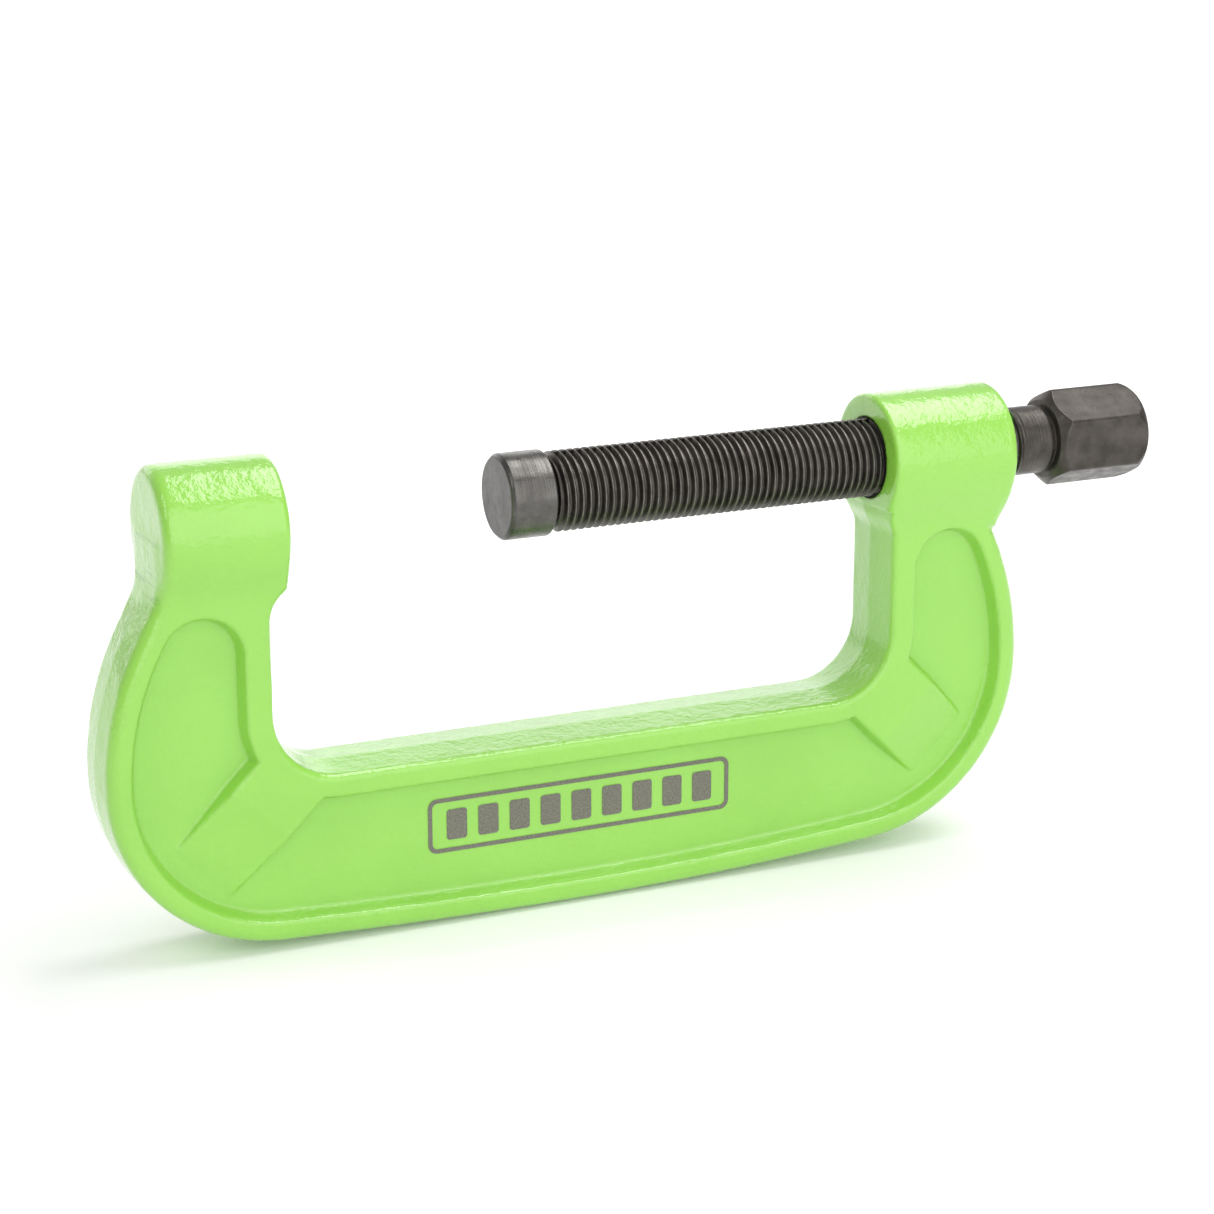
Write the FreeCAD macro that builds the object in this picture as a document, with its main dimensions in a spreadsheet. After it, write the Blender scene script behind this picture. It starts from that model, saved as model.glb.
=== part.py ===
import FreeCAD, Part
import Sketcher
import math
import os

# A forged C-frame press clamp.  Units are millimetres.
# Origin: centre of the anvil's working face, on the screw axis.
# +X runs along the screw towards its hexagon, +Z from the spine up to the screw, Y across the frame.

V = FreeCAD.Vector

SIZES = [
    # the C-shaped frame
    ("throat_opening", 210.8, "between the inner faces of the two arms"),
    ("throat_depth", 76.5, "screw axis to the inner face of the spine"),
    ("throat_corner", 20.0, "inside corner radius of the throat"),
    ("frame_width", 28.5, "thickness of the forging across Y"),
    ("arm_depth", 50.5, "inner face of an arm to its widest point"),
    ("spine_depth", 56.0, "inner face of the spine to the lowest point"),
    ("widest_drop", 70.0, "screw axis down to where the arms are widest"),
    ("arm_radius", 100.0, "curve of the outer side of an arm"),
    ("bottom_rise", 4.0, "lowest point up to the lowest point of a corner's circle"),
    ("neck_drop", 25.0, "screw axis down to the neck under a boss"),
    ("edge_round", 3.0, "rounding along the outline of the forging"),
    # the two bosses
    ("boss_diameter", 42.0, "both bosses"),
    ("anvil_proud", 7.2, "anvil face beyond the arm's inner face"),
    ("anvil_length", 38.5, "length of the anvil boss"),
    ("anvil_blend", 12.0, "hollow under the anvil, where it meets the arm"),
    ("nut_proud", 2.4, "threaded boss beyond the arm's inner face"),
    ("nut_length", 45.6, "length of the threaded boss"),
    ("boss_round", 3.0, "rounding at the bosses' ends"),
    ("nut_bevel", 0.6, "bevel at the mouths of the threaded bore"),
    ("neck_slope", 12.0, "height of the slope under the threaded boss"),
    # the recess in each face of the frame
    ("recess_depth", 5.0, "from the face of the frame"),
    ("recess_draft", 15.0, "slope of the recess's wall, degrees"),
    ("flange", 8.0, "left standing along the throat"),
    ("rim", 7.5, "left standing along the outside"),
    ("recess_round", 14.0, "radius of the recess's top in an arm"),
    ("gusset_width", 26.0, "rib across each lower corner"),
    ("gusset_flat", 16.0, "throat corner to where the rib slopes down"),
    ("gusset_slope", 25.0, "length of the rib's slope"),
    # the forcing screw
    ("rest_opening", 72.0, "anvil face to cap face as drawn"),
    ("thread_diameter", 25.4, "major diameter"),
    ("thread_play", 0.08, "radial clearance of the screw in its boss"),
    ("thread_length", 163.2, "threaded length"),
    ("thread_bevel", 1.6, "bevel at the first turn"),
    ("run_out", 3.0, "where the thread fades into the neck"),
    ("neck_diameter", 22.4, "plain neck before the hexagon"),
    ("neck_length", 10.7, "plain neck"),
    ("undercut_diameter", 20.6, "groove at the root of the hexagon"),
    ("undercut_width", 2.3, "groove at the root of the hexagon"),
    ("hex_flats", 28.575, "across flats"),
    ("hex_length", 34.1, "along the screw"),
    ("hex_bevel", 2.2, "depth of the turned bevel on the corners, along the screw"),
    # the thrust cap and what is inside it
    ("cap_diameter", 27.0, "outside"),
    ("cap_length", 15.3, "along the screw"),
    ("cap_bevel", 1.2, "at the working face"),
    ("cap_back_bevel", 0.7, "at the back"),
    ("cap_floor", 5.0, "thickness behind the working face"),
    ("cap_gap", 1.5, "cap to the shoulder of the screw"),
    ("spigot_diameter", 16.0, "end of the screw inside the cap"),
    ("spigot_play", 0.08, "radial clearance of the spigot in the cap"),
    ("spigot_gap", 1.0, "end of the spigot to the cap's floor"),
    ("wire_diameter", 1.6, "retaining ring"),
    ("wire_play", 0.1, "round the retaining ring"),
    ("wire_setback", 4.2, "ring to the back of the cap"),
    ("wire_opening", 36.0, "gap in the ring, degrees"),
    ("ball_diameter", 7.94, "thrust ball"),
    ("ball_play", 0.05, "round the thrust ball"),
]

doc = FreeCAD.newDocument("c_clamp")
sheet = doc.addObject("Spreadsheet::Sheet", "dims")
for row, (alias, value, note) in enumerate(SIZES, start=1):
    sheet.set("A%d" % row, str(value))
    sheet.setAlias("A%d" % row, alias)
    sheet.set("B%d" % row, note)
doc.recompute()

# Places used by more than one piece, as expressions on the sheet.
HALF_INSIDE = "dims.throat_opening / 2"
MIDDLE = "dims.throat_opening / 2 - dims.anvil_proud"
HALF_OUTSIDE = "dims.throat_opening / 2 + dims.arm_depth"
RISE = "(dims.throat_depth + dims.spine_depth - dims.widest_drop)"
CORNER_RADIUS = "(" + RISE + " - dims.bottom_rise)"
BOTTOM_RADIUS = ("((" + HALF_OUTSIDE + " - " + CORNER_RADIUS + ") ^ 2 + " + RISE
                 + " ^ 2 - " + CORNER_RADIUS + " ^ 2) / (2 * dims.bottom_rise)")
NUT_LEFT = "dims.throat_opening - dims.anvil_proud - dims.nut_proud"
THREAD_START = "dims.rest_opening + dims.cap_length + dims.cap_gap"
THREAD_END = THREAD_START + " + dims.thread_length"
NECK_START = THREAD_END + " + dims.run_out"
NECK_END = NECK_START + " + dims.neck_length"
HEX_START = NECK_END + " + dims.undercut_width"
HEX_END = HEX_START + " + dims.hex_length"
CAP_BACK = "dims.rest_opening + dims.cap_length"
CAP_INSIDE = "dims.rest_opening + dims.cap_floor"
SPIGOT_END = CAP_INSIDE + " + dims.spigot_gap"
BALL_CENTRE = CAP_INSIDE + " + dims.ball_diameter / 2 + dims.ball_play"
BALL_HOLE_END = BALL_CENTRE + " + dims.ball_diameter / 2 + dims.ball_play"
WIRE_CENTRE = CAP_BACK + " - dims.wire_setback"
WIRE_SLOT = "(dims.wire_diameter / 2 + dims.wire_play)"
SCREW_RADIUS = "dims.thread_diameter / 2"
BORE_RADIUS = SCREW_RADIUS + " + dims.thread_play"
CAP_BORE = "dims.spigot_diameter / 2 + dims.spigot_play"
# How far a cutting tool reaches past the metal it cuts.
MARGIN = "1"
# The free ring stands halfway into the cap's groove, and can close into the spigot's.
WIRE_CIRCLE = "dims.spigot_diameter / 2 + dims.wire_diameter / 8"


def size(alias):
    return float(sheet.get(alias))


def bind(thing, **rules):
    """Bind properties to expressions; a double underscore stands for a dot."""
    for name, rule in rules.items():
        thing.setExpression(name.replace("__", "."), rule)


def pin_point(sketch, geometry, end, across, up):
    """Fix one end of a sketch curve to two expressions, or to an axis where it is 0."""
    for kind, rule, axis in (("DistanceX", across, -2), ("DistanceY", up, -1)):
        if rule == "0":
            sketch.addConstraint(Sketcher.Constraint("PointOnObject", geometry, end, axis))
        else:
            now = sketch.getPoint(geometry, end)
            value = now.x if kind == "DistanceX" else now.y
            index = sketch.addConstraint(Sketcher.Constraint(kind, -1, 1, geometry, end, value))
            sketch.setExpression("Constraints[%d]" % index, rule)


def join_ends(sketch, count):
    for index in range(count):
        following = (index + 1) % count
        sketch.addConstraint(Sketcher.Constraint("Coincident", index, 2, following, 1))


def draw_polygon(sketch, corners):
    """A closed outline of straight lines, each corner bound to two expressions."""
    count = len(corners)
    ring = []
    for index in range(count):
        angle = 2 * math.pi * index / count
        ring.append(V(100 * math.cos(angle), 100 * math.sin(angle), 0))
    for index in range(count):
        sketch.addGeometry(Part.LineSegment(ring[index], ring[(index + 1) % count]))
    join_ends(sketch, count)
    for index, (across, up) in enumerate(corners):
        pin_point(sketch, index, 1, across, up)


def origin_feature(body, role):
    return [item for item in body.Origin.OriginFeatures if item.Role == role][0]


def turned_body(name, corners):
    """A body turned about the X axis from an outline of (along, radius) corners."""
    body = doc.addObject("PartDesign::Body", name)
    outline = body.newObject("Sketcher::SketchObject", name + "_outline")
    outline.AttachmentSupport = [(origin_feature(body, "XY_Plane"), "")]
    outline.MapMode = "FlatFace"
    draw_polygon(outline, corners)
    doc.recompute()
    turning = body.newObject("PartDesign::Revolution", name + "_turning")
    turning.Profile = outline
    turning.ReferenceAxis = (outline, ["H_Axis"])
    turning.Angle = 360.0
    body.Tip = turning
    doc.recompute()
    return body


def side_sketch(name, offset_rule=None):
    """A sketch in the XZ plane, measured from the middle of the throat."""
    sketch = doc.addObject("Sketcher::SketchObject", name)
    sketch.Placement = FreeCAD.Placement(V(0, 0, 0), FreeCAD.Rotation(V(1, 0, 0), 90))
    bind(sketch, Placement__Base__x=MIDDLE)
    if offset_rule:
        bind(sketch, Placement__Base__y=offset_rule)
    return sketch


def extrude(name, sketch, length_rule):
    solid = doc.addObject("Part::Extrusion", name)
    solid.Base = sketch
    solid.DirMode = "Custom"
    solid.Dir = V(0, 1, 0)
    solid.Solid = True
    solid.Symmetric = True
    bind(solid, LengthFwd=length_rule)
    doc.recompute()
    return solid


def mirror(name, source, normal):
    """Mirror a solid about the middle of the throat (X) or the middle of the frame (Y)."""
    copy = doc.addObject("Part::Mirroring", name)
    copy.Source = source
    copy.Normal = normal
    bind(copy, Base__x=MIDDLE)
    doc.recompute()
    return copy


def fuse(name, pieces):
    joined = doc.addObject("Part::MultiFuse", name)
    joined.Shapes = pieces
    joined.Refine = True
    doc.recompute()
    return joined


def cut(name, base, tool):
    result = doc.addObject("Part::Cut", name)
    result.Base = base
    result.Tool = tool
    result.Refine = True
    doc.recompute()
    return result


def round_edges(name, base, radius_alias, wanted):
    """Round every edge of base for which wanted(edge) is true."""
    rounded = doc.addObject("Part::Fillet", name)
    rounded.Base = base
    radius = size(radius_alias)
    edges = enumerate(base.Shape.Edges, start=1)
    rounded.Edges = [(index, radius, radius) for index, edge in edges if wanted(edge)]
    doc.recompute()
    return rounded


def arc(centre, radius, start, end):
    """A sketch arc, counter-clockwise from the start angle to the end angle."""
    return Part.ArcOfCircle(Part.Circle(centre, V(0, 0, 1), radius), start, end)


def add_rule(sketch, rule, *parts):
    """A dimension in a sketch, bound to an expression."""
    index = sketch.addConstraint(Sketcher.Constraint(*parts))
    sketch.setExpression("Constraints[%d]" % index, rule)


def radius_rule(sketch, geometry, rule):
    value = sketch.Geometry[geometry].Radius
    add_rule(sketch, rule, "Radius", geometry, value)


def outer_curves(inset):
    """Where the outer curves of half the frame run, moved inwards by inset.

    Gives the arm's centre, the lower corner's centre and radius, the bottom's radius
    and the angle at which the lower corner passes into the bottom.
    """
    half = size("throat_opening") / 2 + size("arm_depth")
    widest = -size("widest_drop")
    lowest = -size("throat_depth") - size("spine_depth")
    arm_centre = V(half - size("arm_radius"), widest, 0)
    rise = widest - lowest
    corner = rise - size("bottom_rise")
    corner_centre = V(half - corner, widest, 0)
    # The bottom's centre is above the middle, and its circle holds the corner's inside it.
    reach = corner_centre.x ** 2 + rise ** 2 - corner ** 2
    bottom_radius = reach / (2 * size("bottom_rise"))
    meeting = math.atan2(widest - (lowest + bottom_radius), corner_centre.x)
    return arm_centre, corner_centre, corner - inset, bottom_radius - inset, meeting


def draw_outer_curves(sketch, first, top_angle, inset=0.0, less="", past_middle=None):
    """Arm, lower corner and bottom arcs, as geometry first, first + 1 and first + 2.

    They run inside the frame's outside by inset, which less takes off in an expression.
    The bottom starts in the middle of the frame, or past it by a size of the sheet.
    """
    arm_centre, corner_centre, corner_radius, bottom_radius, meeting = outer_curves(inset)
    lowest = -size("throat_depth") - size("spine_depth") + inset
    bottom_centre = V(0, lowest + bottom_radius, 0)
    overlap = size(past_middle) if past_middle else 0.0
    start_angle = -math.pi / 2 - math.asin(overlap / bottom_radius)
    sketch.addGeometry(arc(arm_centre, size("arm_radius") - inset, 0, top_angle))
    sketch.addGeometry(arc(corner_centre, corner_radius, meeting, 0))
    sketch.addGeometry(arc(bottom_centre, bottom_radius, start_angle, meeting))
    arm, corner, bottom = first, first + 1, first + 2
    # Arcs run counter-clockwise, so the outline passes each from its end to its start.
    sketch.addConstraint(Sketcher.Constraint("Tangent", arm, 1, corner, 2))
    sketch.addConstraint(Sketcher.Constraint("Tangent", corner, 1, bottom, 2))
    pin_point(sketch, arm, 3, HALF_OUTSIDE + " - dims.arm_radius", "-dims.widest_drop")
    radius_rule(sketch, arm, "dims.arm_radius" + less)
    radius_rule(sketch, corner, CORNER_RADIUS + less)
    height = sketch.getPoint(arm, 1)
    add_rule(sketch, "-dims.widest_drop", "DistanceY", -1, 1, arm, 1, height.y)
    sketch.addConstraint(Sketcher.Constraint("PointOnObject", bottom, 3, -2))
    radius_rule(sketch, bottom, BOTTOM_RADIUS + less)
    if past_middle:
        add_rule(sketch, "-dims." + past_middle, "DistanceX", -1, 1, bottom, 1, -overlap)
    else:
        sketch.addConstraint(Sketcher.Constraint("PointOnObject", bottom, 1, -2))
    return arm, corner, bottom


# ---------------------------------------------------------------- c_frame
def half_outline():
    """Half of the spine and one arm, up to the neck under its boss."""
    sketch = side_sketch("half_outline")
    inside = size("throat_opening") / 2
    spine = -size("throat_depth")
    corner = size("throat_corner")
    neck = -size("neck_drop")
    lowest = spine - size("spine_depth")
    reach = size("widest_drop") - size("neck_drop")
    top_angle = math.asin(reach / size("arm_radius"))
    outer = inside + size("arm_depth") - size("arm_radius")
    outer += size("arm_radius") * math.cos(top_angle)
    sketch.addGeometry(Part.LineSegment(V(0, spine, 0), V(inside - corner, spine, 0)))
    sketch.addGeometry(arc(V(inside - corner, spine + corner, 0), corner, -math.pi / 2, 0))
    sketch.addGeometry(Part.LineSegment(V(inside, spine + corner, 0), V(inside, neck, 0)))
    sketch.addGeometry(Part.LineSegment(V(inside, neck, 0), V(outer, neck, 0)))
    arm, _, bottom = draw_outer_curves(sketch, 4, top_angle)
    sketch.addGeometry(Part.LineSegment(V(0, lowest, 0), V(0, spine, 0)))
    sketch.addConstraint(Sketcher.Constraint("Tangent", 0, 2, 1, 1))
    sketch.addConstraint(Sketcher.Constraint("Tangent", 1, 2, 2, 1))
    sketch.addConstraint(Sketcher.Constraint("Coincident", 2, 2, 3, 1))
    sketch.addConstraint(Sketcher.Constraint("Coincident", 3, 2, arm, 2))
    sketch.addConstraint(Sketcher.Constraint("Coincident", bottom, 1, 7, 1))
    sketch.addConstraint(Sketcher.Constraint("Coincident", 7, 2, 0, 1))
    sketch.addConstraint(Sketcher.Constraint("Horizontal", 0))
    sketch.addConstraint(Sketcher.Constraint("Horizontal", 3))
    pin_point(sketch, 0, 1, "0", "-dims.throat_depth")
    pin_point(sketch, 2, 2, HALF_INSIDE, "-dims.neck_drop")
    radius_rule(sketch, 1, "dims.throat_corner")
    doc.recompute()
    return sketch


def straight_outline(name, corners):
    sketch = side_sketch(name)
    draw_polygon(sketch, corners)
    doc.recompute()
    return sketch


def recess_outline(name, level_rule, lean, lean_rule):
    """Half of the recess in the front face, where its walls have come in by lean.

    It goes past the middle, so that the two halves leave nothing between them.
    """
    sketch = side_sketch(name, level_rule)
    rim = size("rim") + lean
    wall = size("throat_opening") / 2 + size("flange") + lean
    roof = -size("throat_depth") - size("flange") - lean
    lowest = -size("throat_depth") - size("spine_depth") + rim
    # The rib's straight side comes in by lean too, square to itself.
    slant = size("gusset_width") / math.sqrt(2) + (2 - math.sqrt(2)) * lean
    low = V(wall - slant, roof, 0)
    high = V(wall, roof + slant, 0)
    # The rounded top touches the wall along the throat and the arm's rim.
    arm_centre = outer_curves(rim)[0]
    top_radius = size("recess_round") - lean
    between = size("arm_radius") - rim - top_radius
    across = wall + top_radius - arm_centre.x
    top_centre = arm_centre + V(across, math.sqrt(between ** 2 - across ** 2), 0)
    touch = math.atan2(top_centre.y - arm_centre.y, across)
    sketch.addGeometry(Part.LineSegment(V(-size("recess_depth"), roof, 0), low))
    sketch.addGeometry(Part.LineSegment(low, high))
    sketch.addGeometry(Part.LineSegment(high, V(wall, top_centre.y, 0)))
    sketch.addGeometry(arc(top_centre, top_radius, touch, math.pi))
    less = " - dims.rim - " + lean_rule
    arm, _, bottom = draw_outer_curves(sketch, 4, touch, rim, less, "recess_depth")
    past = -size("recess_depth")
    sketch.addGeometry(Part.LineSegment(V(past, lowest, 0), V(past, roof, 0)))
    sketch.addConstraint(Sketcher.Constraint("Coincident", 0, 2, 1, 1))
    sketch.addConstraint(Sketcher.Constraint("Coincident", 1, 2, 2, 1))
    sketch.addConstraint(Sketcher.Constraint("Tangent", 2, 2, 3, 2))
    sketch.addConstraint(Sketcher.Constraint("Tangent", 3, 1, arm, 2))
    sketch.addConstraint(Sketcher.Constraint("Coincident", bottom, 1, 7, 1))
    sketch.addConstraint(Sketcher.Constraint("Coincident", 7, 2, 0, 1))
    sketch.addConstraint(Sketcher.Constraint("Vertical", 2))
    slant_rule = "dims.gusset_width / sqrt(2) + (2 - sqrt(2)) * " + lean_rule
    slant_rule = "(" + slant_rule + ")"
    roof_rule = "-dims.throat_depth - dims.flange - " + lean_rule
    wall_rule = HALF_INSIDE + " + dims.flange + " + lean_rule
    pin_point(sketch, 0, 1, "-dims.recess_depth", roof_rule)
    pin_point(sketch, 1, 1, wall_rule + " - " + slant_rule, roof_rule)
    pin_point(sketch, 2, 1, wall_rule, roof_rule + " + " + slant_rule)
    radius_rule(sketch, 3, "dims.recess_round - " + lean_rule)
    doc.recompute()
    return sketch


def half_recess():
    """Half of the recess in the front face, with sloping walls."""
    lean = size("recess_depth") * math.tan(math.radians(size("recess_draft")))
    lean_rule = "dims.recess_depth * tan(dims.recess_draft)"
    face = recess_outline("recess_mouth", "-dims.frame_width / 2", 0.0, "0")
    floor = recess_outline("recess_floor", "-dims.frame_width / 2 + dims.recess_depth",
                           lean, lean_rule)
    recess = doc.addObject("Part::Loft", "recess")
    recess.Sections = [face, floor]
    recess.Solid = True
    recess.Ruled = True
    doc.recompute()
    return recess


def neck(name, end_rule, is_anvil):
    """The end of an arm that runs into its boss, measured as if on the +X side."""
    inside_end = HALF_INSIDE + (" - dims.anvil_proud" if is_anvil else "")
    drop = "-dims.neck_drop"
    arm_out = HALF_OUTSIDE + " - dims.arm_radius + sqrt(dims.arm_radius ^ 2 - (%s) ^ 2)"
    outer = arm_out % "dims.widest_drop - dims.neck_drop"
    slope_end = "-dims.neck_slope"
    corners = [(HALF_INSIDE, drop), (outer, drop), (end_rule, slope_end), (end_rule, "0")]
    corners += [(inside_end, "0")]
    if is_anvil:
        corners += [(inside_end, drop + " + dims.anvil_blend")]
    return straight_outline(name, corners)


def half_blank(name, half, neck_outline):
    """Half of the spine, one arm and its neck, with rounded edges, as if on the +X side."""
    arm_end = extrude(name + "_neck", neck_outline, "dims.frame_width")
    plate = fuse(name + "_plate", [half, arm_end])
    half_width = size("frame_width") / 2
    middle = size("throat_opening") / 2 - size("anvil_proud")
    # Edges above this lie inside the boss.
    roof = -size("neck_slope") / 2

    def on_a_face(edge):
        box = edge.BoundBox
        flat = box.YLength < 0.001 and abs(abs(box.YMin) - half_width) < 0.001
        in_the_middle = abs(box.XMax - middle) < 0.001
        return flat and box.ZMin < roof and not in_the_middle

    return round_edges(name + "_rounded", plate, "edge_round", on_a_face)


def frame_blank():
    """The C-shaped plate with rounded edges, before its bosses and recesses."""
    half = extrude("half_plate", half_outline(), "dims.frame_width")
    anvil_end = MIDDLE + " + dims.anvil_length - dims.boss_round / 2"
    nut_end = NUT_LEFT + " + dims.nut_length - dims.boss_round / 2 - (" + MIDDLE + ")"
    nut_half = half_blank("nut_half", half, neck("nut_neck_outline", nut_end, False))
    anvil_half = half_blank("anvil_half", half, neck("anvil_neck_outline", anvil_end, True))
    anvil_half = mirror("anvil_half", anvil_half, V(1, 0, 0))
    return fuse("plate", [nut_half, anvil_half])


def boss(name, start_rule, length_rule):
    """A round boss along the screw axis with rounded ends."""
    barrel = doc.addObject("Part::Cylinder", name + "_barrel")
    barrel.Placement = FreeCAD.Placement(V(0, 0, 0), FreeCAD.Rotation(V(0, 1, 0), 90))
    bind(barrel, Radius="dims.boss_diameter / 2", Height=length_rule, Placement__Base__x=start_rule)
    doc.recompute()
    return round_edges(name, barrel, "boss_round", lambda edge: len(edge.Vertexes) == 1)


def gusset():
    """The rib across one lower corner on the front face, as if on the +X side.

    Its section is drawn in the plane of the diagonal through the throat corner.
    """
    section = doc.addObject("Sketcher::SketchObject", "gusset_section")
    # Local X runs outwards and down the diagonal, local Y into the frame.
    out = V(1, 0, -1)
    turn = FreeCAD.Rotation(out, V(0, 1, 0), V(1, 0, 1), "XYZ")
    section.Placement = FreeCAD.Placement(V(0, 0, 0), turn)
    corner_x = MIDDLE + " + " + HALF_INSIDE + " - dims.throat_corner"
    bind(section, Placement__Base__x=corner_x,
         Placement__Base__y="-dims.frame_width / 2",
         Placement__Base__z="-dims.throat_depth + dims.throat_corner")
    crest = "dims.throat_corner + dims.gusset_flat"
    foot = crest + " + dims.gusset_slope"
    floor = "dims.recess_depth"
    corners = [("dims.throat_corner", "0"), (crest, "0"), (foot, floor)]
    root = floor + " + " + MARGIN
    corners += [(foot, root), ("dims.throat_corner", root)]
    draw_polygon(section, corners)
    doc.recompute()
    rib = doc.addObject("Part::Extrusion", "gusset_rib")
    rib.Base = section
    rib.DirMode = "Normal"
    rib.Solid = True
    rib.Symmetric = True
    bind(rib, LengthFwd="dims.gusset_width")
    doc.recompute()
    return rib


def four_ways(name, solid):
    """A front right-hand solid, repeated to the left and to the back."""
    left = mirror(name + "_left", solid, V(1, 0, 0))
    front = fuse(name + "_front", [solid, left])
    back = mirror(name + "_back", front, V(0, 1, 0))
    return [front, back]


def mouth_edges(shape, radius, places):
    """Numbers of the circular edges of this radius round the screw axis at these X."""
    found = []
    for index, edge in enumerate(shape.Edges, start=1):
        if edge.Curve.TypeId != "Part::GeomCircle":
            continue
        same_size = abs(edge.Curve.Radius - radius) < 0.001
        if same_size and any(abs(edge.Curve.Center.x - place) < 0.001 for place in places):
            found.append(index)
    return found


def build_frame():
    plate = frame_blank()
    anvil = boss("anvil", "-dims.anvil_length", "dims.anvil_length")
    nut = boss("nut", NUT_LEFT, "dims.nut_length")
    front_recess, back_recess = four_ways("recess", half_recess())
    hollowed = cut("front_cut", plate, front_recess)
    hollowed = cut("back_cut", hollowed, back_recess)
    ribs = four_ways("gusset", gusset())
    solid = fuse("forging", [hollowed, anvil, nut] + ribs)
    bore = doc.addObject("Part::Cylinder", "bore")
    bore.Placement = FreeCAD.Placement(V(0, 0, 0), FreeCAD.Rotation(V(0, 1, 0), 90))
    bind(bore, Radius=BORE_RADIUS, Height="dims.nut_length + 2 * " + MARGIN,
         Placement__Base__x=NUT_LEFT + " - " + MARGIN)
    doc.recompute()
    bored = cut("bored_forging", solid, bore)
    frame = doc.addObject("Part::Chamfer", "c_frame")
    frame.Base = bored
    bevel = size("nut_bevel")
    left = doc.getObject("nut_barrel").Placement.Base.x
    radius = size("thread_diameter") / 2 + size("thread_play")
    mouths = mouth_edges(bored.Shape, radius, (left, left + size("nut_length")))
    frame.Edges = [(index, bevel, bevel) for index in mouths]
    doc.recompute()
    return frame


# ---------------------------------------------------------------- forcing_screw
def build_screw():
    """The screw, its spigot and its hexagon, turned and milled from one bar."""
    spigot = "dims.spigot_diameter / 2"
    thread = SCREW_RADIUS
    neck_radius = "dims.neck_diameter / 2"
    root = "dims.undercut_diameter / 2"
    corner = "dims.hex_flats / sqrt(3)"
    hole = "dims.ball_diameter / 2 + dims.ball_play"
    slot_left = WIRE_CENTRE + " - " + WIRE_SLOT
    slot_right = WIRE_CENTRE + " + " + WIRE_SLOT
    # Deep enough for the ring to close into it while the cap is pushed on.
    slot_floor = spigot + " - dims.wire_diameter - dims.wire_play"
    face = "dims.hex_flats / 2"
    corners = [
        (BALL_HOLE_END, "0"), (BALL_HOLE_END, hole), (SPIGOT_END, hole), (SPIGOT_END, spigot),
        (slot_left, spigot), (slot_left, slot_floor), (slot_right, slot_floor),
        (slot_right, spigot), (THREAD_START, spigot),
        (THREAD_START, thread + " - dims.thread_bevel"),
        (THREAD_START + " + dims.thread_bevel", thread), (THREAD_END, thread),
        (NECK_START, neck_radius), (NECK_END, neck_radius), (NECK_END, root),
        (HEX_START, root), (HEX_START, face), (HEX_START + " + dims.hex_bevel", corner),
        (HEX_END + " - dims.hex_bevel", corner), (HEX_END, face), (HEX_END, "0"),
    ]
    screw = turned_body("forcing_screw", corners)
    # Six flats are milled off the round blank of the head.
    flat = screw.newObject("Sketcher::SketchObject", "hex_flat")
    flat.AttachmentSupport = [(origin_feature(screw, "YZ_Plane"), "")]
    flat.MapMode = "FlatFace"
    outside = corner + " + " + MARGIN
    draw_polygon(flat, [(face, "-" + corner), (outside, "-" + corner), (outside, corner),
                        (face, corner)])
    # The cutter starts within the undercut, where there is nothing else to cut.
    bind(flat, AttachmentOffset__Base__z=HEX_START + " - dims.undercut_width / 2")
    doc.recompute()
    milling = screw.newObject("PartDesign::Pocket", "hex_milling")
    milling.Profile = flat
    milling.Reversed = True
    bind(milling, Length="dims.hex_length + dims.undercut_width")
    doc.recompute()
    around = screw.newObject("PartDesign::PolarPattern", "hex_flats_around")
    around.Originals = [milling]
    around.Axis = (origin_feature(screw, "X_Axis"), [""])
    around.Angle = 360.0
    around.Occurrences = 6
    screw.Tip = around
    doc.recompute()
    return screw


def build_cap():
    """The cup-shaped cap that swivels on the spigot and bears on the work."""
    outside = "dims.cap_diameter / 2"
    slot_left = WIRE_CENTRE + " - " + WIRE_SLOT
    slot_right = WIRE_CENTRE + " + " + WIRE_SLOT
    slot_roof = WIRE_CIRCLE + " + dims.wire_diameter / 2 + dims.wire_play"
    bore = CAP_BORE
    corners = [
        ("dims.rest_opening", "0"), ("dims.rest_opening", outside + " - dims.cap_bevel"),
        ("dims.rest_opening + dims.cap_bevel", outside),
        (CAP_BACK + " - dims.cap_back_bevel", outside),
        (CAP_BACK, outside + " - dims.cap_back_bevel"), (CAP_BACK, bore),
        (slot_right, bore), (slot_right, slot_roof), (slot_left, slot_roof),
        (slot_left, bore), (CAP_INSIDE, bore), (CAP_INSIDE, "0"),
    ]
    return turned_body("thrust_cap", corners)


def build_ring():
    """An open ring of round wire that keeps the cap on the spigot."""
    ring = doc.addObject("Part::Torus", "retaining_ring")
    ring.Placement = FreeCAD.Placement(V(0, 0, 0), FreeCAD.Rotation(V(0, 1, 0), 90))
    bind(ring, Radius1=WIRE_CIRCLE, Radius2="dims.wire_diameter / 2",
         Angle3="360 - dims.wire_opening", Placement__Base__x=WIRE_CENTRE)
    doc.recompute()
    return ring


def build_ball():
    ball = doc.addObject("Part::Sphere", "thrust_ball")
    bind(ball, Radius="dims.ball_diameter / 2", Placement__Base__x=BALL_CENTRE)
    doc.recompute()
    return ball


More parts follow.
